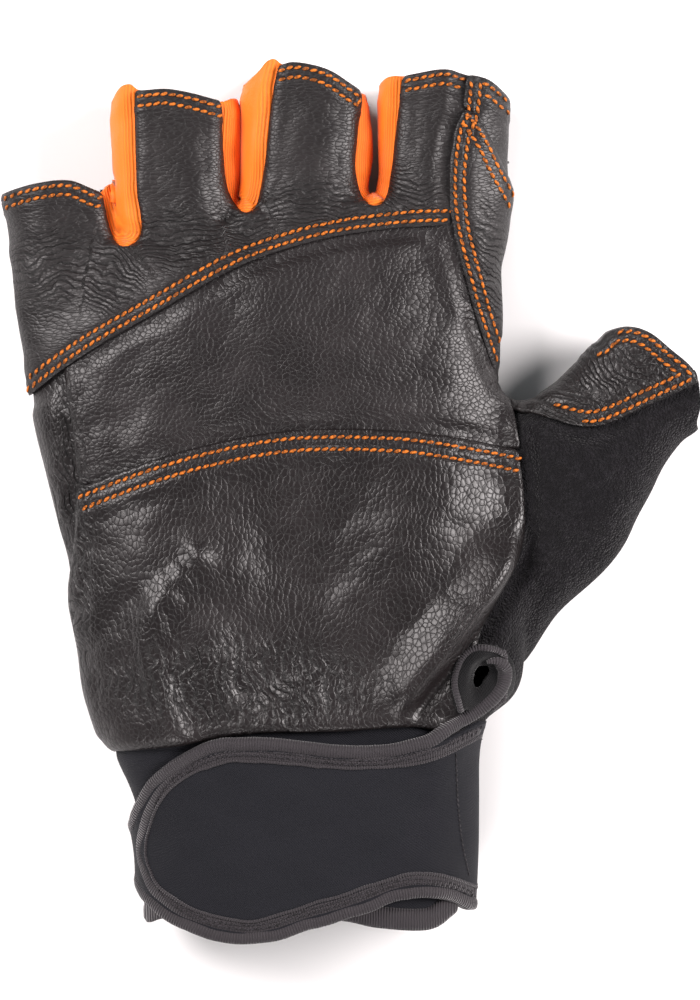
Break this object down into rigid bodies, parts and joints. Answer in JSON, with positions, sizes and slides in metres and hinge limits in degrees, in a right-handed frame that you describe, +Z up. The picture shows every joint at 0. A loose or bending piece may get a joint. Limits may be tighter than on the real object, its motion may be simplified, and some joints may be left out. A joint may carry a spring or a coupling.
{
  "type": "climbing glove",
  "caption": "Right-hand half-finger climbing glove lying palm up: leather palm, stretch strips between the fingers, terry thumb and a bound wrist strap.",
  "frame": {"origin": "middle of the glove's box seen from above, on the table that its back rests on", "axes": "+X across the palm towards the thumb, +Y from the wrist to the fingers, +Z up out of the palm"},
  "size_m": [0.1612, 0.2018, 0.0334],
  "materials": {
    "leather": "soft satin goat leather, near black, fine wrinkles",
    "grain_leather": "pebbled leather over thin padding, near black",
    "terry": "matte brushed terry, blue black",
    "knit": "plain matte stretch knit, black",
    "stretch_fabric": "ribbed stretch fabric, bright orange",
    "neoprene": "matte cloth-faced neoprene, charcoal",
    "binding": "ribbed knit tape, dark grey",
    "hook_and_loop": "plain hook and loop, black"
  },
  "bodies": {
    "root": {"finger_panel": "leather", "index_side_panel": "leather", "index_tip_panel": "leather", "palm_patch": "grain_leather", "heel_panel": "leather", "outer_side_panel": "leather", "little_ring_fourchette": "stretch_fabric", "ring_middle_fourchette": "stretch_fabric", "middle_index_fourchette": "stretch_fabric", "thumb_leather": "leather", "thumb_terry": "terry", "back_panel": "knit", "cuff_band": "neoprene", "cuff_binding": "binding", "wrist_strap": "neoprene", "strap_binding": "binding", "closure_patch": "hook_and_loop", "keyhole_binding": "binding"}
  },
  "joints": []
}
